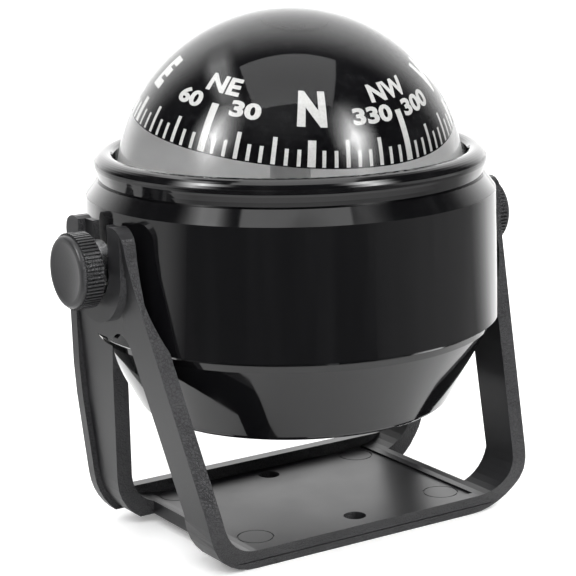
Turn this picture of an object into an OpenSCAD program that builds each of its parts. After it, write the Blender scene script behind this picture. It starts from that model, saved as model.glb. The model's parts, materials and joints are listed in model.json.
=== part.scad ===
// Binnacle compass on a bracket. Millimetres, +Z up, front towards -Y.
// Origin: on the axis of the round case, at the underside of the bracket base.

/* [Case] */
// radius of the case wall at its lower edge
case_r = 31.4; // [30.8:0.1:31.6]
// height of the knob axis above the underside of the base
axis_z = 42.9; // [42.5:0.1:45]
// radius of the flat underside of the lower bowl
bowl_foot_r = 23.8; // [22:0.1:26]
// outside radius of the clear dome
dome_r = 26.4; // [26.2:0.1:26.5]

/* [Bracket] */
// thickness of the base plate
base_t = 3.2; // [2.6:0.1:3.6]
// thickness of each arm
arm_t = 2.5; // [2:0.1:2.6]
// distance from the centre to the outer face of each arm, at the knob axis
arm_x = 33.2; // [33:0.1:34]
// outward lean of each arm, millimetres per millimetre of height
arm_lean = 0.13; // [0.09:0.01:0.14]
// distance between the two screw holes in the base
hole_pitch = 24; // [20:0.5:26]
// diameter of the screw holes in the base
hole_d = 3.4; // [3:0.1:4]

/* [Knobs] */
// knob diameter over the knurl
knob_d = 11.2; // [9:0.1:13]
// number of ribs round each knob
knob_ribs = 60; // [24:1:64]
// distance from the centre to the outer face of each knob
knob_x = 38.6; // [38.2:0.1:40]

/* [Card] */
// radius of the spherical card surface
card_r = 20.2; // [19:0.1:20.6]
// slope angle of the card surface at its rim
card_rim = 12.4; // [12:0.2:20]
// angle that the card leans on its pivot at rest
card_lean = 8; // [0:0.5:9]
// direction of the axis the card leans about, from +X towards +Y
card_lean_to = 22; // [0:1:90]

/* [Hidden] */

round_fn = 96;          // smoothness of large circles
small_fn = 40;          // smoothness of small circles
wall_z = axis_z - 11.4; // lower edge of the case wall
top_z = axis_z + 10.2;  // upper edge of the case bevel
foot_z = axis_z - 25;   // underside of the lower bowl
dome_z = top_z - 1.5;   // centre of the dome
bend_r = 9;             // outside radius of the bends at the feet
arm_top = axis_z + 6.9; // top of the arm heads
stud_r = 2;             // radius of the clamping studs
head_x = arm_x + 0.8;   // distance from the centre to the outer face of the arm heads
collar_r = 4.1;         // radius of the collars between knobs and arm heads
collar_in = 1.2;        // depth of the collar recess in the arm heads
deck_z = top_z - 2.1;   // seat of the chamber dish on the case deck
floor_z = axis_z - 3.4; // top of the chamber floor
bore_gap = 0.06;        // radial clearance round turning pins
corrector_y = axis_z - 19.2; // height of the corrector that lies along Y
corrector_x = axis_z - 13.6; // height of the corrector that lies along X
card_z = dome_z + 2.7;  // centre of the card sphere when the card is level
crown = 62;             // slope angle above which the card is a flatter cone
hub_r = 4;              // radius at which the card meets its hub cap
hub_z = card_z + 18.6;  // underside of the hub cap
pivot_z = dome_z + 14.2; // tip of the pivot pin, about which the card leans
lean_len = sqrt(1 + arm_lean * arm_lean);
foot_x = arm_x - arm_lean * axis_z; // where the outer arm face would meet the ground

black_plastic = [0.10, 0.10, 0.11];
grey_plastic = [0.72, 0.72, 0.72];
brass = [0.78, 0.62, 0.32];
steel = [0.72, 0.72, 0.74];
dark_rubber = [0.14, 0.14, 0.14];
clear = [0.85, 0.92, 0.95, 0.35];

// points on an arc, from angle a to angle b
function arc(cx, cy, r, a, b, n) =
  [for (i = [0:n]) [cx + r * cos(a + (b - a) * i / n), cy + r * sin(a + (b - a) * i / n)]];

// centre of a bend of radius r that is tangent to height z and to the arm line inset by d
function bend_centre(z, r, d) = foot_x + arm_lean * (z + r) - lean_len * (r + d);

function mirrored(points) = [for (i = [len(points) - 1:-1:0]) [-points[i][0], points[i][1]]];

// ---- bracket -------------------------------------------------------------------------------

module u_section() {
  lean = atan(arm_lean);
  inner_r = bend_r - 3;
  outer = arc(bend_centre(0, bend_r, 0), bend_r, bend_r, -90, -lean, 8);
  inner = arc(bend_centre(base_t, inner_r, arm_t), base_t + inner_r, inner_r, -lean, -90, 8);
  tip = [[foot_x + arm_lean * 60, 60], [foot_x + arm_lean * 60 - arm_t * lean_len, 60]];
  half = concat(outer, tip, inner);
  polygon(concat(half, mirrored(half)));
}

function front_edge(z) = -9.85 - 0.35 * (axis_z - 1.2 - z);
function front_inside(z) = -6.6 - 0.36 * (axis_z - 11.7 - z);
function rear_inside(z) = 0.5 + 0.24 * (axis_z - 14.3 - z);

// outline of the bracket seen from the side: x runs along Y, y runs along Z
module side_outline() {
  slope = atan(0.35);
  toe_r = 8;
  toe_y = front_edge(9.5) + toe_r * cos(slope);
  toe_z = 9.5 - toe_r * sin(slope);
  polygon(concat(
    [[-19.6, 0]],
    arc(toe_y, toe_z, toe_r, 205, 180 - slope, 8),
    [[front_edge(axis_z - 1), axis_z - 1], [-9, axis_z + 2.2]],
    arc(-5.8, arm_top - 3, 3, 165, 60, 6),
    arc(5.8, arm_top - 3, 3, 120, 15, 6),
    [[9.2, axis_z + 2.2], [10, axis_z - 1.6], [12.6, axis_z - 22], [13, axis_z - 34], [13, 0]]));
}

// window between the legs of one arm, running down through the bend into the base
module arm_window() {
  polygon(concat(
    [[-13.9, -1], [-14.3, base_t + 0.6], [front_inside(8.6), 8.6]],
    arc(-3.3, axis_z - 12.4, 3, 160, 20, 8),
    [[rear_inside(axis_z - 16), axis_z - 16], [rear_inside(9), 9], [6, base_t + 1.2], [6, -1]]));
}

// solid whose outline is given in the YZ plane, between two X positions
module along_x(x0, x1) {
  translate([x0, 0, 0]) rotate([90, 0, 90]) linear_extrude(x1 - x0) children();
}

// thick head of one arm: a round boss below and two tips above
module arm_head(side) {
  boss_r = 7.9;
  along_x(side == 1 ? 29.6 : -head_x, side == 1 ? head_x : -29.6) intersection() {
    side_outline();
    union() {
      translate([0, axis_z]) circle(r = boss_r, $fn = round_fn);
      translate([-boss_r, axis_z]) square([2 * boss_r, 20]);
    }
  }
}

// open-topped slot that lets the case lift out with its studs, wider where the collar sits
module stud_slot(side) {
  slot_r = stud_r + bore_gap;
  translate([side * 26, 0, axis_z]) rotate([0, side * 90, 0])
    cylinder(r = slot_r, h = 12, $fn = small_fn);
  translate([side * 32 - 6, -slot_r, axis_z]) cube([12, 2 * slot_r, 12]);
  translate([side * (head_x - collar_in), 0, axis_z]) rotate([0, side * 90, 0])
    cylinder(r = collar_r + 0.3, h = 4, $fn = round_fn);
  translate([side * (head_x - collar_in + 2) - 2, -collar_r - 0.3, axis_z]) cube([4, 2 * collar_r + 0.6, 12]);
}

// strip along the rear edge of the arms and base, seen from the side
module rear_strip() {
  polygon([[11.1, 0], [13, 0], [13, axis_z - 34], [12.6, axis_z - 22], [10, axis_z - 1.6],
           [8.1, axis_z - 1.6], [10.7, axis_z - 22], [11.1, axis_z - 34]]);
}

// upstanding rib along the rear edge of the arms and base
module rear_rib() {
  intersection() {
    translate([0, 30, 0]) rotate([90, 0, 0]) linear_extrude(60) rib_section();
    along_x(-60, 60) rear_strip();
  }
}

// bracket section with its outside stood proud of the arms, fading out at the foot and the head
module rib_section() {
  lean = atan(arm_lean);
  proud = 0.9;
  steps = 10;
  centre_x = bend_centre(0, bend_r, 0);
  outer = [for (i = [0:steps]) let (a = -90 + (90 - lean) * i / steps,
                                    r = bend_r + proud * min(1, 2 * i / steps))
           [centre_x + r * cos(a), bend_r + r * sin(a)]];
  inner = arc(centre_x, bend_r, bend_r - 1.1, -lean, -30, 4);
  arm = [[foot_x + arm_lean * 26 + proud, 26], [arm_x - arm_lean + 0.1, axis_z - 1],
         [arm_x - arm_lean - 1.1, axis_z - 1]];
  half = concat(outer, arm, inner, [[centre_x + 5, base_t + 1.5]]);
  polygon(concat(half, mirrored(half)));
}

module bracket_arms() {
  intersection() {
    translate([0, 30, 0]) rotate([90, 0, 0]) linear_extrude(60) u_section();
    along_x(-60, 60) side_outline();
  }
}

// room for the case to swing through every angle between the arm heads
module swing_room() {
  swing_r = sqrt(case_r * case_r + 11.4 * 11.4) + 0.4;
  intersection() {
    translate([0, 0, axis_z]) sphere(r = swing_r, $fn = round_fn);
    translate([-case_r - 0.4, -60, axis_z - 40]) cube([2 * case_r + 0.8, 120, 80]);
  }
}

// shallow floor of the base, sunk below its front lip, with the round marks of the mould
module base_floor() {
  translate([-20.2, -19, base_t - 0.3]) cube([40.4, 30.1, 1]);
  for (x = [-17, 17], y = [-15, 8])
    translate([x, y, base_t - 0.45]) difference() {
      cylinder(r = 2.75, h = 1, $fn = small_fn);
      translate([0, 0, -1]) cylinder(r = 2.55, h = 3, $fn = small_fn);
    }
}

// hollow under the base, which leaves it standing on a front lip and a shorter rear lip
module base_hollow() {
  translate([-60, -17.2, -1]) cube([120, 28.4, 2.5]);
  for (x = [-60, 19]) translate([x, 11, -1]) cube([41, 10, 2.5]);
}

// shallow line where the mould halves meet, across the front edge of the base
module parting_line() {
  translate([-23, -21, 1.3]) cube([46, 1.42, 0.14]);
}

module bracket() {
  color(black_plastic) difference() {
    union() {
      bracket_arms();
      arm_head(-1);
      arm_head(1);
      rear_rib();
    }
    swing_room();
    for (side = [-1, 1]) {
      stud_slot(side);
      along_x(side == 1 ? 22.2 : -60, side == 1 ? 60 : -22.2) arm_window();
    }
    for (y = [-hole_pitch / 2, hole_pitch / 2])
      translate([0, y - 4.1, -1]) cylinder(d = hole_d, h = base_t + 2, $fn = small_fn);
    base_floor();
    base_hollow();
    parting_line();
  }
}

// ---- knobs and studs -----------------------------------------------------------------------

// places a part drawn along +Z at the knob axis, pointing outwards on one side
module on_side(side) {
  translate([0, 0, axis_z]) rotate([0, side * 90, 0]) children();
}

module knob(side) {
  length = 3.7;
  body_r = knob_d / 2 - 0.3;
  dish = [for (i = [0:6]) let (r = 4.4 * (1 - i / 6)) [r, length - 0.5 + r * r / 38.7]];
  color(black_plastic) on_side(side) difference() {
    union() {
      translate([0, 0, knob_x - length]) rotate_extrude($fn = round_fn) polygon(concat(
        [[0, 0], [body_r - 0.2, 0], [body_r, 0.2]],
        arc(body_r - 0.6, length - 0.6, 0.6, 0, 90, 5), dish));
      for (i = [0:knob_ribs - 1]) rotate([0, 0, i * 360 / knob_ribs])
        translate([body_r - 0.2, -0.15, knob_x - length + 0.3]) cube([0.5, 0.3, length - 1.05]);
    }
    translate([0, 0, knob_x - 10]) cylinder(r = stud_r, h = 10 - 1.3, $fn = small_fn);
  }
}

module stud(side) {
  color(steel) on_side(side) translate([0, 0, 26.6])
    cylinder(r = stud_r, h = knob_x - 1.3 - 26.6, $fn = small_fn);
}

module collar(side) {
  color(steel) on_side(side) difference() {
    translate([0, 0, head_x - collar_in])
      cylinder(r = collar_r, h = knob_x - 3.7 - head_x + collar_in, $fn = round_fn);
    cylinder(r = stud_r, h = 60, $fn = small_fn);
  }
}

module insert(side) {
  color(brass) on_side(side) difference() {
    union() {
      translate([0, 0, 26.2]) cylinder(r = 3.2, h = case_r + 0.2 - 26.2, $fn = small_fn);
      translate([0, 0, 26.2]) cylinder(r = 3.9, h = 2, $fn = small_fn);
    }
    cylinder(r = stud_r + bore_gap, h = 60, $fn = small_fn);
  }
}

// ---- case ----------------------------------------------------------------------------------

module housing_shell() {
  color(black_plastic) difference() {
    rotate_extrude($fn = round_fn) polygon([
      [29, wall_z - 0.4], [case_r - 0.5, wall_z - 0.4], [case_r, wall_z],
      [case_r - 0.4, top_z - 2.2], [29.35, top_z], [27.8, top_z], [27.8, deck_z],
      [25.9, deck_z], [25.9, deck_z - 1.4], [29, deck_z - 1.4]]);
    for (side = [-1, 1]) on_side(side) cylinder(r = 3.2, h = 60, $fn = small_fn);
  }
}

module bezel_ring() {
  lip_r = 1.7;
  color(black_plastic) rotate_extrude($fn = round_fn) polygon(concat(
    [[dome_r + 0.35, top_z], [29, top_z], [29.25, top_z + 0.9]],
    arc(27.95, top_z + 2.4, lip_r, -25, 120, 12),
    [[dome_r + 0.35, top_z + 3.4]]));
}

module dome() {
  color(clear) rotate_extrude($fn = round_fn) polygon(concat(
    [[27.6, dome_z + 0.5], [27.6, top_z], [sqrt(dome_r * dome_r - 2.25), top_z]],
    arc(0, dome_z, dome_r, asin(1.5 / dome_r) + 1, 90, 30),
    arc(0, dome_z, dome_r - 1.5, 90, asin(0.5 / (dome_r - 1.5)), 30)));
}

module dome_gasket() {
  color(dark_rubber) translate([0, 0, deck_z + 0.5]) difference() {
    cylinder(r = 27.6, h = dome_z - deck_z, $fn = round_fn);
    translate([0, 0, -1]) cylinder(r = 25.2, h = 5, $fn = round_fn);
  }
}

module chamber_dish() {
  color(grey_plastic) difference() {
    rotate_extrude($fn = round_fn) polygon([
      [0, floor_z], [18, floor_z], [24, floor_z + 7], [24.6, deck_z + 0.5], [27.6, deck_z + 0.5],
      [27.6, deck_z], [25.8, deck_z], [25, floor_z + 6.6], [18.4, floor_z - 1.4],
      [0, floor_z - 1.4]]);
    translate([0, 0, floor_z - 3]) cylinder(r = 2.4, h = 6, $fn = small_fn);
    for (a = [45:90:315]) rotate([0, 0, a]) translate([7, 0, floor_z - 3])
      cylinder(r = 1.2, h = 6, $fn = small_fn);
    translate([0, 15.2, floor_z - 3]) cylinder(r = 1.6, h = 6, $fn = small_fn);
    for (a = [0:60:300]) rotate([0, 0, a]) translate([12.2, 0, floor_z - 3])
      cylinder(r = 0.7, h = 2.6, $fn = small_fn);
  }
  color(grey_plastic) for (a = [30:120:270]) rotate([0, 0, a]) screw_boss();
}

module screw_boss() {
  translate([16.4, 0, floor_z - 5.4]) difference() {
    cylinder(r = 2.4, h = 4.6, $fn = small_fn);
    translate([0, 0, -1]) cylinder(r = 1.1, h = 5, $fn = small_fn);
  }
}

module pivot_post() {
  color(grey_plastic) rotate_extrude($fn = round_fn) polygon([
    [0, floor_z - 1.4], [2.4, floor_z - 1.4], [2.4, floor_z], [4.4, floor_z], [4.4, floor_z + 1],
    [2.2, floor_z + 4], [2.2, dome_z + 3], [1.3, dome_z + 8], [0.6, dome_z + 8],
    [0.6, dome_z + 4], [0, dome_z + 4]]);
}

module pivot_pin() {
  color(steel) translate([0, 0, dome_z + 4]) {
    cylinder(r = 0.6, h = 8, $fn = small_fn);
    translate([0, 0, 8]) cylinder(r1 = 0.6, r2 = 0.15, h = 2.2, $fn = small_fn);
  }
}

module lubber_tab() {
  color(grey_plastic) translate([-0.6, -24.2, floor_z + 7.1]) difference() {
    cube([1.2, 1.4, 8.6]);
    translate([-1, 0.6, 7.4]) rotate([-40, 0, 0]) cube([4, 3, 4]);
  }
}

module diaphragm() {
  color(dark_rubber) difference() {
    translate([0, 0, floor_z - 2.2]) cylinder(r = 13.5, h = 0.8, $fn = round_fn);
    for (a = [0:60:300]) rotate([0, 0, a]) translate([12.2, 0, floor_z - 3])
      cylinder(r = 0.9, h = 3, $fn = small_fn);
  }
}

module diaphragm_ring() {
  color(steel) difference() {
    translate([0, 0, floor_z - 3]) cylinder(r = 13.5, h = 0.8, $fn = round_fn);
    translate([0, 0, floor_z - 4]) cylinder(r = 10.6, h = 3, $fn = round_fn);
    for (a = [0:60:300]) rotate([0, 0, a]) translate([12.2, 0, floor_z - 4])
      cylinder(r = 0.9, h = 4, $fn = small_fn);
  }
}

// slotted screw drawn head down: shank up from z = 0, head below it
module slotted_screw(shank_r, shank_h, head_r, head_h) {
  difference() {
    union() {
      cylinder(r = shank_r, h = shank_h, $fn = small_fn);
      translate([0, 0, -head_h]) cylinder(r = head_r, h = head_h, $fn = small_fn);
    }
    translate([-head_r - 1, -head_r * 0.15, -head_h - 1]) cube([2 * head_r + 2, head_r * 0.3, 1.5]);
  }
}

module ring_screws() {
  color(steel) for (a = [0:60:300]) rotate([0, 0, a]) translate([12.2, 0, floor_z - 3])
    slotted_screw(0.7, 2.5, 1.2, 0.8);
}

module filler_plug() {
  color(brass) translate([0, 15.2, floor_z - 1.4]) slotted_screw(1.6, 1.4, 1.5, 1);
}

module lower_bowl() {
  skin = 1.8;
  cone_top = wall_z - 1.6;
  color(black_plastic) difference() {
    union() {
      rotate_extrude($fn = round_fn) polygon(concat(
        [[0, foot_z]], arc(bowl_foot_r - 1.2, foot_z + 1.6, 1.6, -90, -32, 5),
        [[case_r - 1.3, cone_top], [case_r - 1, wall_z - 0.4], [29, wall_z - 0.4],
         [28.95, wall_z + 2], [27.6, wall_z + 2], [27.9, cone_top],
         [bowl_foot_r - 2.2, foot_z + skin], [0, foot_z + skin]]));
      for (a = [30:120:270]) rotate([0, 0, a]) translate([16.4, 0, foot_z + 0.5])
        cylinder(r = 2.6, h = floor_z - 5.4 - foot_z - 0.5, $fn = small_fn);
      corrector_rest([0, 0, 0], corrector_y, 25.2);
      corrector_rest([0, 0, -90], corrector_x, 28.2);
    }
    for (a = [30:120:270]) rotate([0, 0, a]) translate([16.4, 0, 0]) {
      translate([0, 0, foot_z - 1]) cylinder(r = 2.4, h = 2.6, $fn = small_fn);
      cylinder(r = 1.25, h = 60, $fn = small_fn);
    }
    translate([0, 0, corrector_y]) rotate([-90, 0, 0])
      cylinder(r = 1.8 + bore_gap, h = 60, $fn = small_fn);
    translate([0, 0, corrector_x]) rotate([0, 90, 0])
      cylinder(r = 1.8 + bore_gap, h = 60, $fn = small_fn);
  }
}

// bearing block for a corrector spindle, standing on the bowl floor and cut to the bowl wall
module corrector_rest(turn, z, reach) {
  intersection() {
    rotate(turn) translate([-3, reach - 6, foot_z + 0.5]) cube([6, 4, z + 3 - foot_z - 0.5]);
    translate([0, 0, foot_z]) cylinder(r1 = bowl_foot_r - 0.9, r2 = case_r - 2.2,
                                       h = wall_z - 1.6 - foot_z, $fn = round_fn);
  }
}

module case_screws() {
  color(steel) for (a = [30:120:270]) rotate([0, 0, a]) translate([16.4, 0, foot_z + 1.6])
    slotted_screw(1.1, floor_z - 2 - foot_z - 1.6, 2.1, 1.2);
}

// spindle drawn along +Y from the inside outwards, ending in a slotted head
module corrector(reach, z) {
  translate([0, 0, z]) difference() {
    union() {
      translate([0, 4, 0]) rotate([-90, 0, 0]) cylinder(r = 1.8, h = reach - 4, $fn = small_fn);
      translate([0, reach - 12, 0]) rotate([-90, 0, 0]) cylinder(r = 3.2, h = 5.5, $fn = small_fn);
    }
    translate([-2.5, reach - 0.9, -0.3]) cube([5, 2, 0.6]);
    translate([-8, reach - 10.9, -1]) cube([16, 2, 2]);
  }
}

module corrector_magnet(reach, z) {
  translate([-3, reach - 10.9, z - 1]) cube([6, 2, 2]);
}

module lengthwise_corrector() { color(brass) corrector(25.2, corrector_y); }
module lengthwise_magnet() { color(steel) corrector_magnet(25.2, corrector_y); }
module crosswise_corrector() { color(brass) rotate([0, 0, -90]) corrector(28.2, corrector_x); }
module crosswise_magnet() { color(steel) rotate([0, 0, -90]) corrector_magnet(28.2, corrector_x); }

// ---- card ----------------------------------------------------------------------------------

// tips the card about the pivot pin to the attitude it rests at
module leaning() {
  translate([0, 0, pivot_z]) rotate([0, 0, card_lean_to]) rotate([card_lean, 0, 0])
    rotate([0, 0, -card_lean_to]) translate([0, 0, -pivot_z]) children();
}

module compass_card() {
  skin = 0.8;
  color(black_plastic) leaning() rotate_extrude($fn = round_fn) polygon(concat(
    arc(0, card_z, card_r, card_rim, crown, 20), [[hub_r, hub_z], [hub_r, hub_z - skin]],
    arc(0, card_z, card_r - skin, crown, card_rim, 20)));
}

module card_hub_cap() {
  color(black_plastic) leaning() difference() {
    union() {
      translate([0, 0, hub_z]) cylinder(r = hub_r + 0.4, h = 0.5, $fn = round_fn);
      translate([0, 0, pivot_z - 0.8]) cylinder(r = 3.4, h = hub_z + 0.1 - pivot_z + 0.8,
                                                $fn = round_fn);
    }
    translate([0, 0, pivot_z - 2]) cylinder(r = 1.6, h = 4.2, $fn = small_fn);
  }
}

module jewel_cup() {
  color([0.55, 0.10, 0.14]) leaning() difference() {
    translate([0, 0, pivot_z - 0.8]) cylinder(r = 1.6, h = 3, $fn = small_fn);
    translate([0, 0, pivot_z - 1.8]) cylinder(r1 = 1.5, r2 = 0.3, h = 2, $fn = small_fn);
  }
}

module card_float() {
  color(grey_plastic) leaning() difference() {
    rotate_extrude($fn = round_fn) polygon([
      [6.4, dome_z + 5.4], [11.5, dome_z + 5.4], [11.5, dome_z + 8.6], [4.2, hub_z - 1.6],
      [3.4, hub_z - 1.6], [3.4, pivot_z - 0.6], [4.4, dome_z + 10]]);
    for (side = [-1, 1]) translate([side * 8.8 - 1, -5, dome_z + 5]) cube([2, 10, 2.4]);
  }
}

module card_magnets() {
  color(steel) leaning() for (side = [-1, 1])
    translate([side * 8.8 - 1, -5, dome_z + 5.4]) cube([2, 10, 2]);
}

// ---- which nodes to build ------------------------------------------------------------------

bracket();
knob(-1);  // left_knob
stud(-1);  // left_stud
collar(-1);  // left_collar
knob(1);  // right_knob
stud(1);  // right_stud
collar(1);  // right_collar
insert(-1);  // left_insert
insert(1);  // right_insert
housing_shell();
bezel_ring();
dome();
dome_gasket();
chamber_dish();
pivot_post();
pivot_pin();
lubber_tab();
diaphragm();
diaphragm_ring();
ring_screws();
filler_plug();
lower_bowl();
case_screws();
lengthwise_corrector();
lengthwise_magnet();
crosswise_corrector();
crosswise_magnet();
compass_card();
card_hub_cap();
card_float();
jewel_cup();
card_magnets();
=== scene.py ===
import json
import math

import bmesh
import bpy
from mathutils import Matrix, Vector


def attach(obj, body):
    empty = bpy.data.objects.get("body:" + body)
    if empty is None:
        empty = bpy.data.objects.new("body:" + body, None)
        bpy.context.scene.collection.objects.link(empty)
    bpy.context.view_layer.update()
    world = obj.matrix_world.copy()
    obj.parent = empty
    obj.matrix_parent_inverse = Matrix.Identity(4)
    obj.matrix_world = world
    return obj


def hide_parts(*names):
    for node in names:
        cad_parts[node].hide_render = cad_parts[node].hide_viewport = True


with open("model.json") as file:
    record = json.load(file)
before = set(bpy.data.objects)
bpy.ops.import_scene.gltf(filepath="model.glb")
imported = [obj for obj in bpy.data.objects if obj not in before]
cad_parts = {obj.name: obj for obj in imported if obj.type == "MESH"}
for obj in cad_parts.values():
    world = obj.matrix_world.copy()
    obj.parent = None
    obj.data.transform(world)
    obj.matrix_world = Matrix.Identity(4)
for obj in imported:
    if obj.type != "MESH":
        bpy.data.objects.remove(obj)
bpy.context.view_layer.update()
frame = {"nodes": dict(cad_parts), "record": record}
NODES = frame["nodes"]
MM = 0.001

# ---- sizes shared with the CAD part, in millimetres ------------------------------------------

AXIS_Z = 42.9           # knob axis above the ground
TOP_Z = AXIS_Z + 10.2   # top of the case bevel, where the dome comes out
DOME_Z = TOP_Z - 1.5    # centre of the dome
DOME_R = 26.4
CARD_R = 20.2
CARD_Z = DOME_Z + 2.7   # centre of the card sphere when the card is level
PIVOT_Z = DOME_Z + 14.2
CARD_LEAN = 8.0         # lean of the card about the pivot, in degrees
CARD_LEAN_TO = 22.0     # direction of the axis it leans about, from +X towards +Y
FLOOR_Z = AXIS_Z - 3.4  # top of the chamber floor
DECK_Z = TOP_Z - 2.1    # seat of the chamber dish
HEADING = -22.3         # where the card's north stands, in degrees from the front

# ---- studio values, in degrees, metres and watts ---------------------------------------------

LIGHT_FROM = (0.54, 0.84, 0.35)   # where the sky is brightest: behind the object and above it
BEHIND = (0.54, 0.84, 0.0)        # level direction away from the camera
LEFT = (-0.84, 0.54, 0.0)         # level direction to the left of the camera
FLOOR_LIFT = 0.22                 # extra white seen in the paper, so that its shadows stay faint
AIM_HEIGHT = 0.045                # height of the point that lamps and cards face
CAMERA_AZIMUTH = -33.01           # round the case from the front, negative to the left
CAMERA_DISTANCE = 0.30471         # level distance from the case axis
CAMERA_HEIGHT = 0.10692
CAMERA_PAN = 0.13
CAMERA_PITCH = 13.26
CAMERA_ROLL = -1.06
CAMERA_LENS = 127.43              # focal length in millimetres


# ---- node helpers ----------------------------------------------------------------------------

class Maker:
    """Builds one node material around a Principled shader."""

    def __init__(self, name, color, roughness, **sockets):
        self.material = bpy.data.materials.new(name)
        self.material.use_nodes = True
        self.tree = self.material.node_tree
        self.shader = self.tree.nodes["Principled BSDF"]
        self.shader.inputs["Base Color"].default_value = (*color, 1)
        self.shader.inputs["Roughness"].default_value = roughness
        for socket, value in sockets.items():
            self.shader.inputs[socket.replace("_", " ")].default_value = value
        self.coords = self.add("ShaderNodeTexCoord")

    def add(self, kind, **inputs):
        node = self.tree.nodes.new(kind)
        for socket, value in inputs.items():
            node.inputs[socket.replace("_", " ")].default_value = value
        return node

    def link(self, source, target):
        self.tree.links.new(source, target)

    def noise(self, scale, detail=3.0, roughness=0.5, upright=False):
        node = self.add("ShaderNodeTexNoise", Scale=scale, Detail=detail, Roughness=roughness)
        place = self.coords.outputs["Object"]
        if upright:
            drawn = self.add("ShaderNodeMapping", Scale=(1.0, 1.0, 0.05))
            self.link(place, drawn.inputs["Vector"])
            place = drawn.outputs["Vector"]
        self.link(place, node.inputs["Vector"])
        return node.outputs["Fac"]

    def cells(self, scale):
        """Distance to the walls between small irregular cells."""
        node = self.add("ShaderNodeTexVoronoi", Scale=scale)
        node.feature = "DISTANCE_TO_EDGE"
        self.link(self.coords.outputs["Object"], node.inputs["Vector"])
        return node.outputs["Distance"]

    def remap(self, value, low, high, to_low, to_high):
        node = self.add("ShaderNodeMapRange", From_Min=low, From_Max=high,
                        To_Min=to_low, To_Max=to_high)
        self.link(value, node.inputs["Value"])
        return node.outputs["Result"]

    def math(self, operation, a, b):
        node = self.add("ShaderNodeMath")
        node.operation = operation
        for socket, value in zip(node.inputs, (a, b)):
            if isinstance(value, (int, float)):
                socket.default_value = value
            else:
                self.link(value, socket)
        return node.outputs["Value"]

    def blend(self, fac, first, second):
        node = self.tree.nodes.new("ShaderNodeMix")
        node.data_type = "RGBA"
        node.inputs["A"].default_value = (*first, 1)
        node.inputs["B"].default_value = (*second, 1)
        self.link(fac, node.inputs["Factor"])
        return node.outputs["Result"]

    def bump(self, height, distance, strength=1.0, below=None):
        node = self.add("ShaderNodeBump", Strength=strength, Distance=distance)
        self.link(height, node.inputs["Height"])
        if below is not None:
            self.link(below, node.inputs["Normal"])
        return node.outputs["Normal"]

    def finish(self, color=None, roughness=None, normal=None):
        for value, socket in ((color, "Base Color"), (roughness, "Roughness"), (normal, "Normal")):
            if value is not None:
                self.link(value, self.shader.inputs[socket])
        return self.material


# ---- materials -------------------------------------------------------------------------------

def grained_plastic(name, color, worn_and_painted_light, roughness, grain):
    """Satin moulded plastic: glossier on top, with a coarse crackled texture on its front edges, whose
    cells are painted paler and whose cell walls stay dark as painted shade of that relief.
    """
    m = Maker(name, color, roughness, Specular_IOR_Level=0.38)
    fine = m.noise(grain, 4.0, 0.6)
    cloud = m.noise(170.0, 3.0)
    facing = m.add("ShaderNodeSeparateXYZ")
    m.link(m.coords.outputs["Normal"], facing.inputs["Vector"])
    front = m.remap(facing.outputs["Y"], -0.75, -0.93, 0.0, 1.0)
    top = m.remap(facing.outputs["Z"], 0.85, 0.97, 0.0, 1.0)
    crackle = m.math("MULTIPLY", front, m.remap(m.cells(2100.0), 0.0, 0.16, 0.0, 1.0))
    depth = m.math("SUBTRACT", m.remap(front, 0.0, 1.0, 0.22, 0.5), m.math("MULTIPLY", top, 0.17))
    texture = m.math("ADD", m.math("MULTIPLY", fine, depth), crackle)
    sheen = m.math("ADD", m.remap(cloud, 0.3, 0.7, roughness - 0.02, roughness + 0.04),
                   m.math("MULTIPLY", front, 0.10))
    sheen = m.math("SUBTRACT", sheen, m.math("MULTIPLY", top, 0.08))
    # random cloudy tone, plus painted shade: on the front faces the crackle's cells are painted paler
    # and its cell walls left dark
    tint = m.math("ADD", m.remap(cloud, 0.35, 0.75, 0.0, 0.30), m.math("MULTIPLY", crackle, 0.70))
    return m.finish(m.blend(tint, color, worn_and_painted_light), sheen, m.bump(texture, 0.00010, 0.6))


def polished_plastic(name, color, roughness):
    """Polished moulded plastic with a faint ripple and upright wiping streaks."""
    m = Maker(name, color, roughness, Specular_IOR_Level=0.45, Coat_Weight=0.2,
              Coat_Roughness=0.03)
    ripple = m.noise(55.0, 2.0)
    streak = m.noise(190.0, 3.0, 0.6, upright=True)
    wiped = m.remap(streak, 0.4, 0.75, roughness * 0.75, roughness * 1.9)
    tint = m.remap(streak, 0.45, 0.8, 0.0, 0.6)
    lighter = tuple(0.007 + 1.3 * c for c in color)
    return m.finish(m.blend(tint, color, lighter), wiped, m.bump(ripple, 0.00012, 0.35))


def turned_metal(name, color, roughness):
    """Turned bright metal with fine tool marks and slight staining."""
    m = Maker(name, color, roughness, Metallic=1.0)
    marks = m.noise(6000.0, 2.0)
    stain = m.noise(500.0, 4.0)
    dull = m.remap(stain, 0.35, 0.7, roughness * 0.8, roughness * 1.6)
    darker = tuple(0.7 * c for c in color)
    return m.finish(m.blend(m.remap(stain, 0.4, 0.75, 0.0, 0.7), color, darker), dull,
                    m.bump(marks, 0.00001, 0.5))


def matt_surface(name, color, roughness, scale, depth):
    """Plain moulded or rubbery surface with soft variation."""
    m = Maker(name, color, roughness)
    grain = m.noise(scale, 4.0)
    cloud = m.noise(240.0, 3.0)
    darker = tuple(0.82 * c for c in color)
    return m.finish(m.blend(m.remap(cloud, 0.35, 0.7, 0.0, 1.0), color, darker),
                    m.remap(grain, 0.3, 0.7, roughness - 0.06, roughness + 0.08),
                    m.bump(grain, depth, 0.5))


def card_enamel():
    """Black enamel under liquid, which takes away nearly all of its surface reflection."""
    m = Maker("card_black", (0.003, 0.003, 0.0035), 0.22, Specular_IOR_Level=0.03)
    speck = m.noise(900.0, 4.0)
    return m.finish(m.blend(m.remap(speck, 0.5, 0.8, 0.0, 1.0), (0.003, 0.003, 0.0035),
                            (0.010, 0.010, 0.011)),
                    m.remap(speck, 0.3, 0.7, 0.18, 0.28), m.bump(speck, 0.00001, 0.3))


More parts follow.
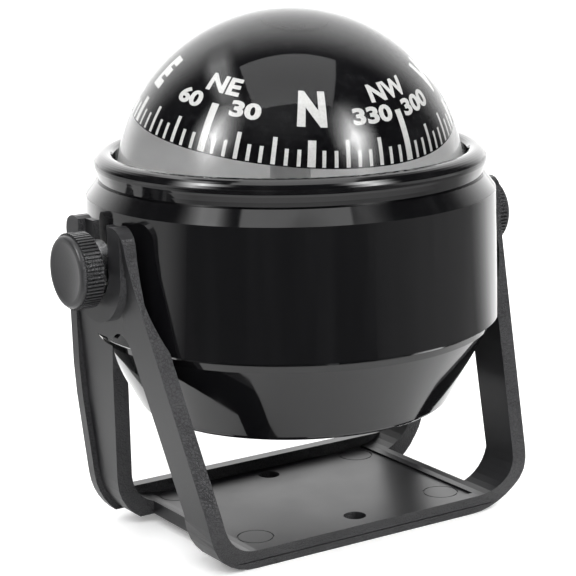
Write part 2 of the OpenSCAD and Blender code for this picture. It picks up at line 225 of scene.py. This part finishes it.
def printed_ink():
    """White screen print, slightly uneven."""
    m = Maker("white_print", (0.54, 0.54, 0.53), 0.5)
    grain = m.noise(3500.0, 3.0)
    return m.finish(m.blend(m.remap(grain, 0.4, 0.8, 0.0, 1.0), (0.56, 0.56, 0.55), (0.46, 0.46, 0.45)),
                    m.remap(grain, 0.3, 0.7, 0.4, 0.6), m.bump(grain, 0.00001, 0.4))


def clear_liquid():
    """Clear dome and the liquid behind it: bends light, and lets lamps through to the card."""
    m = Maker("clear_dome", (1.0, 1.0, 1.0), 0.01, IOR=1.40, Transmission_Weight=1.0)
    ripple = m.noise(24.0, 1.0)
    m.finish(normal=m.bump(ripple, 0.00006, 0.25))
    open_way = m.add("ShaderNodeBsdfTransparent")
    path = m.add("ShaderNodeLightPath")
    mix = m.add("ShaderNodeMixShader")
    m.link(path.outputs["Is Shadow Ray"], mix.inputs[0])
    m.link(m.shader.outputs["BSDF"], mix.inputs[1])
    m.link(open_way.outputs["BSDF"], mix.inputs[2])
    m.link(mix.outputs["Shader"], m.tree.nodes["Material Output"].inputs["Surface"])
    return m.material


def make_materials():
    """One material for each slot that the record names."""
    return {
        # the second colour of each grained plastic serves both a random paler tone and the painted
        # shade of the crackle
        "bracket_plastic": grained_plastic("bracket_plastic", (0.007, 0.007, 0.008),
                                           (0.040, 0.040, 0.042), 0.40, 5200.0),
        "knob_plastic": grained_plastic("knob_plastic", (0.018, 0.018, 0.019),
                                        (0.046, 0.046, 0.048), 0.34, 6000.0),
        "case_plastic": polished_plastic("case_plastic", (0.0035, 0.0035, 0.004), 0.075),
        "card_black": card_enamel(),
        "clear_dome": clear_liquid(),
        "white_print": printed_ink(),
        "chamber_plastic": matt_surface("chamber_plastic", (0.95, 0.95, 0.95), 0.45, 2500.0, 0.00002),
        "post_plastic": matt_surface("post_plastic", (0.50, 0.50, 0.50), 0.40, 2500.0, 0.00002),
        "rubber": matt_surface("rubber", (0.020, 0.020, 0.020), 0.75, 3000.0, 0.00004),
        "stainless": turned_metal("stainless", (0.62, 0.62, 0.63), 0.22),
        "brass": turned_metal("brass", (0.70, 0.52, 0.25), 0.26),
        "magnet": turned_metal("magnet", (0.42, 0.42, 0.44), 0.34),
        "jewel": polished_plastic("jewel", (0.30, 0.02, 0.04), 0.08),
    }


# ---- mesh helpers ----------------------------------------------------------------------------

def piece(name, mesh, body, slot):
    """A visual piece that rides on one body."""
    obj = bpy.data.objects.new(name, mesh)
    bpy.context.scene.collection.objects.link(obj)
    obj.data.materials.append(MATERIALS[slot])
    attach(obj, body)
    return obj


def arc(cx, cz, r, a, b, n):
    """Points on an arc, angles in degrees."""
    turns = [math.radians(a + (b - a) * i / n) for i in range(n + 1)]
    return [(cx + r * math.cos(t), cz + r * math.sin(t)) for t in turns]


def revolve(name, profile, segments=192):
    """Closed solid of revolution about Z from (radius, height) points in millimetres."""
    bm = bmesh.new()
    rings = []
    for radius, height in profile:
        if radius < 1e-6:
            rings.append([bm.verts.new((0, 0, height * MM))])
            continue
        turns = [2 * math.pi * i / segments for i in range(segments)]
        rings.append([bm.verts.new((radius * MM * math.cos(t), radius * MM * math.sin(t), height * MM))
                      for t in turns])
    for low, high in zip(rings, rings[1:]):
        for i in range(segments):
            j = (i + 1) % segments
            if len(low) == 1:
                bm.faces.new((low[0], high[j], high[i]))
            elif len(high) == 1:
                bm.faces.new((low[i], low[j], high[0]))
            else:
                bm.faces.new((low[i], low[j], high[j], high[i]))
    bmesh.ops.recalc_face_normals(bm, faces=bm.faces)
    mesh = bpy.data.meshes.new(name)
    bm.to_mesh(mesh)
    bm.free()
    mesh.polygons.foreach_set("use_smooth", [True] * len(mesh.polygons))
    return mesh


# ---- dome and liquid -------------------------------------------------------------------------

def dome_with_liquid():
    """The clear dome and the liquid it holds, as one clear body sunk into the chamber walls."""
    rise = math.degrees(math.asin(1.5 / DOME_R))
    profile = [(0, FLOOR_Z - 0.4), (18.0, FLOOR_Z - 0.4), (24.3, FLOOR_Z + 6.9),
               (25.0, DECK_Z + 0.4), (25.0, DOME_Z + 0.5), (27.5, DOME_Z + 0.6),
               (27.5, TOP_Z - 0.1), (26.37, TOP_Z)]
    profile += arc(0, DOME_Z, DOME_R, rise + 0.6, 89.4, 64)
    profile.append((0, DOME_Z + DOME_R))
    dome = piece("dome_and_liquid", revolve("dome_and_liquid", profile), "case", "clear_dome")
    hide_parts("dome")


# ---- card print ------------------------------------------------------------------------------

def card_attitude():
    """The turn about the pivot that takes a level card to the attitude it rests at."""
    lean_to = math.radians(CARD_LEAN_TO)
    axis = Vector((math.cos(lean_to), math.sin(lean_to), 0))
    pivot = Matrix.Translation((0, 0, PIVOT_Z * MM))
    return pivot @ Matrix.Rotation(math.radians(CARD_LEAN), 4, axis) @ pivot.inverted()


LEANING = card_attitude()


def on_card(azimuth, slope, lift=0.03):
    """Point on the card: azimuth clockwise from north seen from above, slope above the rim plane."""
    turn = math.radians(HEADING - azimuth)
    rise = math.radians(slope)
    r = (CARD_R + lift) * MM
    return LEANING @ Vector((r * math.cos(rise) * math.sin(turn),
                             -r * math.cos(rise) * math.cos(turn),
                             CARD_Z * MM + r * math.sin(rise)))


def add_patch(bm, azimuth, width, low, high, steps=8):
    """One tick: a strip of constant width in millimetres between two slopes."""
    rows = []
    for i in range(steps + 1):
        slope = low + (high - low) * i / steps
        half = math.degrees(width / 2 / (CARD_R * math.cos(math.radians(slope))))
        rows.append([bm.verts.new(on_card(azimuth + side * half, slope)) for side in (1, 0, -1)])
    for lower, upper in zip(rows, rows[1:]):
        for k in (0, 1):
            bm.faces.new((lower[k], lower[k + 1], upper[k + 1], upper[k]))


def text_outline(word, boldness):
    """Triangles of a bold word, centred on the origin, one unit high."""
    curve = bpy.data.curves.new("lettering", "FONT")
    curve.body = word
    curve.size = 1.0
    curve.offset = boldness
    curve.resolution_u = 4
    obj = bpy.data.objects.new("lettering", curve)
    bpy.context.scene.collection.objects.link(obj)
    bpy.context.view_layer.update()
    mesh = bpy.data.meshes.new_from_object(obj.evaluated_get(bpy.context.evaluated_depsgraph_get()))
    bpy.data.objects.remove(obj)
    bpy.data.curves.remove(curve)
    bm = bmesh.new()
    bm.from_mesh(mesh)
    bpy.data.meshes.remove(mesh)
    bmesh.ops.remove_doubles(bm, verts=bm.verts, dist=1e-5)
    bmesh.ops.triangulate(bm, faces=bm.faces)
    xs = [v.co.x for v in bm.verts]
    ys = [v.co.y for v in bm.verts]
    height = max(ys) - min(ys)
    middle = Vector(((max(xs) + min(xs)) / 2, (max(ys) + min(ys)) / 2, 0))
    for vert in bm.verts:
        vert.co = (vert.co - middle) / height
    bmesh.ops.subdivide_edges(bm, edges=bm.edges, cuts=3)
    bmesh.ops.triangulate(bm, faces=bm.faces)
    return bm


def add_word(bm, word, azimuth, slope, height, width_scale, boldness):
    """Wraps a word onto the card; height is in millimetres."""
    letters = text_outline(word, boldness)
    middle_r = CARD_R * math.cos(math.radians(slope))
    copied = {}
    for vert in letters.verts:
        across = vert.co.x * height * width_scale
        up = vert.co.y * height
        point = on_card(azimuth - math.degrees(across / middle_r),
                        slope + math.degrees(up / CARD_R), 0.035)
        copied[vert] = bm.verts.new(point)
    for face in letters.faces:
        bm.faces.new([copied[v] for v in face.verts])
    letters.free()


def card_print():
    """Ticks every 5 degrees, numbers every 30, and letters at the eight winds."""
    bm = bmesh.new()
    for azimuth in range(0, 360, 5):
        if azimuth % 90 == 0:
            width, top = 1.1, 22.9
        elif azimuth % 45 == 0:
            width, top = 1.1, 32.0
        elif azimuth % 15 == 0:
            width, top = 0.60, 23.2
        else:
            width, top = 0.52, 19.2
        add_patch(bm, azimuth, width, low=12.9, high=top)
    for azimuth in range(30, 360, 30):
        if azimuth % 90:
            add_word(bm, str(azimuth), azimuth, slope=31.8, height=2.35, width_scale=1.48,
                     boldness=0.044)
    for number, word in enumerate(("N", "E", "S", "W")):
        add_word(bm, word, 90 * number, slope=35.2, height=5.1, width_scale=0.80,
                 boldness=0.058)
    for number, word in enumerate(("NE", "SE", "SW", "NW")):
        add_word(bm, word, 45 + 90 * number, slope=40.2, height=2.65, width_scale=1.16,
                 boldness=0.040)
    bmesh.ops.recalc_face_normals(bm, faces=bm.faces)
    mesh = bpy.data.meshes.new("card_print")
    bm.to_mesh(mesh)
    bm.free()
    piece("card_print", mesh, "card", "white_print")


# ---- CAD nodes -------------------------------------------------------------------------------

def round_edges(node, width):
    """Small moulded radius on the sharp edges of a CAD node."""
    weld = node.modifiers.new("weld", "WELD")
    weld.merge_threshold = 0.000002
    bevel = node.modifiers.new("round_edges", "BEVEL")
    bevel.width = width * MM
    bevel.segments = 2
    bevel.limit_method = "ANGLE"
    bevel.angle_limit = math.radians(35)
    bevel.harden_normals = False
    bevel.use_clamp_overlap = True


def dress_cad_nodes():
    """Gives each CAD node the material of its slot."""
    slots = {part["node"]: part["material_slot"] for part in frame["record"]["subparts"]}
    for name, node in NODES.items():
        node.data.materials.clear()
        node.data.materials.append(MATERIALS[slots[name]])


# ---- studio ----------------------------------------------------------------------------------

def aim(obj, azimuth, elevation, distance):
    """Puts a lamp or card round the case, facing it; azimuth 0 is in front, 90 to the left."""
    a = math.radians(azimuth)
    e = math.radians(elevation)
    away = Vector((-math.sin(a) * math.cos(e), -math.cos(a) * math.cos(e), math.sin(e)))
    obj.location = Vector((0, 0, AIM_HEIGHT)) + away * distance
    obj.rotation_euler = (-away).to_track_quat("-Z", "Y").to_euler()


def soft_box(name, azimuth, elevation, distance, width, height, power):
    """Broad lamp that lights the object but is not mirrored in it."""
    lamp = bpy.data.lights.new(name, "AREA")
    lamp.shape = "RECTANGLE"
    lamp.size = width
    lamp.size_y = height
    lamp.energy = power
    obj = bpy.data.objects.new(name, lamp)
    aim(obj, azimuth, elevation, distance)
    bpy.context.scene.collection.objects.link(obj)
    obj.visible_glossy = False


def edge_fade(m, softness):
    """1 in the middle of a unit plane, falling to 0 over the given width at its edges."""
    place = m.add("ShaderNodeSeparateXYZ")
    m.link(m.coords.outputs["Generated"], place.inputs["Vector"])
    fades = []
    for axis in ("X", "Y"):
        offset = m.math("ABSOLUTE", m.math("SUBTRACT", place.outputs[axis], 0.5), 0)
        fades.append(m.remap(m.math("SUBTRACT", 0.5, offset), 0.0, softness, 0.0, 1.0))
    return m.math("MULTIPLY", *fades)


def studio_card(name, width, height, rays):
    """Flat card for the studio that only the named kinds of ray can see."""
    bpy.ops.mesh.primitive_plane_add(size=1.0)
    card = bpy.context.object
    card.name = name
    card.scale = (width, height, 1)
    for ray in ("camera", "diffuse", "glossy", "shadow", "transmission", "volume_scatter"):
        setattr(card, "visible_" + ray, ray in rays)
    return card


def glow_card(name, azimuth, elevation, distance, width, height, strength, softness):
    """Soft-edged glowing card that is mirrored in the case and the dome."""
    card = studio_card(name, width, height, ("glossy",))
    aim(card, azimuth, elevation, distance)
    m = Maker(name, (0, 0, 0), 1.0, Specular_IOR_Level=0.0, Emission_Color=(1, 1, 1, 1))
    m.link(m.math("MULTIPLY", edge_fade(m, softness), strength),
           m.shader.inputs["Emission Strength"])
    see_through(m, edge_fade(m, softness))
    card.data.materials.append(m.material)


def see_through(m, cover):
    """Lets rays pass where cover is 0."""
    clear = m.add("ShaderNodeBsdfTransparent")
    mix = m.add("ShaderNodeMixShader")
    m.link(cover, mix.inputs[0])
    m.link(clear.outputs["BSDF"], mix.inputs[1])
    m.link(m.shader.outputs["BSDF"], mix.inputs[2])
    m.link(mix.outputs["Shader"], m.tree.nodes["Material Output"].inputs["Surface"])


def studio_world():
    """White backdrop; the light it gives is bright behind and above the object, dim in front."""
    world = bpy.data.worlds.new("studio")
    world.use_nodes = True
    tree = world.node_tree
    tree.nodes.clear()
    add = tree.nodes.new
    link = tree.links.new
    coords = add("ShaderNodeTexCoord")
    dot = add("ShaderNodeVectorMath")
    dot.operation = "DOT_PRODUCT"
    dot.inputs[1].default_value = LIGHT_FROM
    link(coords.outputs["Generated"], dot.inputs[0])
    fade = add("ShaderNodeMapRange")
    fade.interpolation_type = "SMOOTHSTEP"
    for socket, value in (("From Min", 0.50), ("From Max", 0.95), ("To Min", 0.03), ("To Max", 2.5)):
        fade.inputs[socket].default_value = value
    link(dot.outputs["Value"], fade.inputs["Value"])
    lit = add("ShaderNodeBackground")
    link(fade.outputs["Result"], lit.inputs["Strength"])
    seen = add("ShaderNodeBackground")
    seen.inputs["Strength"].default_value = 1.0
    seen.inputs["Color"].default_value = (1, 1, 1, 1)
    path = add("ShaderNodeLightPath")
    mix = add("ShaderNodeMixShader")
    link(path.outputs["Is Camera Ray"], mix.inputs[0])
    link(lit.outputs["Background"], mix.inputs[1])
    link(seen.outputs["Background"], mix.inputs[2])
    out = add("ShaderNodeOutputWorld")
    link(mix.outputs["Shader"], out.inputs["Surface"])
    bpy.context.scene.world = world


def studio_floor():
    """White paper that the object stands on."""
    bpy.ops.mesh.primitive_plane_add(size=4.0, location=(0, 0, 0))
    floor = bpy.context.object
    floor.name = "floor"
    m = Maker("floor_paper", (0.97, 0.97, 0.97), 0.6, Emission_Color=(1, 1, 1, 1))
    seen = m.math("MULTIPLY", m.add("ShaderNodeLightPath").outputs["Is Camera Ray"], FLOOR_LIFT)
    m.link(seen, m.shader.inputs["Emission Strength"])
    floor.data.materials.append(m.finish(roughness=m.remap(m.noise(30.0), 0.3, 0.7, 0.55, 0.65)))


def share_of(m, direction, away):
    """How far a point of the floor lies in one direction from the origin, from -1 to 1."""
    dot = m.add("ShaderNodeVectorMath")
    dot.operation = "DOT_PRODUCT"
    dot.inputs[1].default_value = direction
    m.link(m.coords.outputs["Object"], dot.inputs[0])
    return m.math("DIVIDE", dot.outputs["Value"], away.outputs["Value"])


def dark_flag():
    """Black card round the front of the object on the floor, that only gloss reflections can see."""
    flag = studio_card("dark_flag", 1.4, 1.4, ("glossy",))
    flag.location = (0, 0, 0.0004)
    m = Maker("black_card", (0.004, 0.004, 0.004), 0.95, Specular_IOR_Level=0.1)
    m.finish(roughness=m.remap(m.noise(60.0), 0.3, 0.7, 0.85, 1.0))
    away = m.add("ShaderNodeVectorMath")
    away.operation = "LENGTH"
    m.link(m.coords.outputs["Object"], away.inputs[0])
    behind = share_of(m, BEHIND, away)
    left = share_of(m, LEFT, away)
    ring = m.remap(away.outputs["Value"], 0.052, 0.075, 0.0, 0.97)
    lighter_left = m.remap(left, 0.82, 0.94, 1.0, 0.5)
    lighter_right = m.remap(left, -0.95, -0.60, 0.8, 1.0)
    sides = m.math("MULTIPLY", lighter_left, lighter_right)
    front = m.remap(behind, 0.35, 0.7, 1.0, 0.0)
    see_through(m, m.math("MULTIPLY", ring, m.math("MULTIPLY", sides, front)))
    flag.data.materials.append(m.material)


def studio_camera():
    """Camera at 33 degrees to the left of the front, a little above the case, with a long lens."""
    azimuth = math.radians(CAMERA_AZIMUTH)
    pan = azimuth + math.radians(CAMERA_PAN)
    pitch = math.radians(CAMERA_PITCH)
    roll = math.radians(CAMERA_ROLL)
    forward = Vector((-math.sin(pan) * math.cos(pitch), math.cos(pan) * math.cos(pitch),
                      -math.sin(pitch)))
    level = Vector((math.cos(pan), math.sin(pan), 0))
    upward = level.cross(forward)
    right = level * math.cos(roll) + upward * math.sin(roll)
    up = upward * math.cos(roll) - level * math.sin(roll)
    lens = bpy.data.cameras.new("camera")
    lens.lens = CAMERA_LENS
    lens.clip_start = 0.01
    camera = bpy.data.objects.new("camera", lens)
    place = Matrix((right, up, -forward)).transposed().to_4x4()
    place.translation = (math.sin(azimuth) * CAMERA_DISTANCE, -math.cos(azimuth) * CAMERA_DISTANCE,
                         CAMERA_HEIGHT)
    camera.matrix_world = place
    bpy.context.scene.collection.objects.link(camera)
    bpy.context.scene.camera = camera


def studio():
    """Lamps and cards are given by azimuth, elevation, distance, width, height and strength."""
    studio_world()
    studio_floor()
    dark_flag()
    soft_box("tent", 180, 82, 2.0, 6.0, 6.0, 130.0)
    soft_box("front_fill", 30, 40, 1.2, 1.0, 0.8, 13.0)
    glow_card("left_glow", 92, 33, 0.9, 0.62, 0.90, 34.0, 0.5)
    glow_card("bevel_glow", 128, 57, 0.9, 1.40, 0.30, 3.6, 0.35)
    glow_card("right_glow", -17, 32, 0.9, 0.58, 0.90, 40.0, 0.5)
    glow_card("high_panel", 28, 80, 0.9, 0.80, 0.66, 2.0, 0.03)
    bpy.context.scene.view_settings.view_transform = "Standard"
    studio_camera()


# ---- build -----------------------------------------------------------------------------------

MATERIALS = make_materials()
dress_cad_nodes()
round_edges(NODES["bracket"], 0.3)
dome_with_liquid()
card_print()
studio()
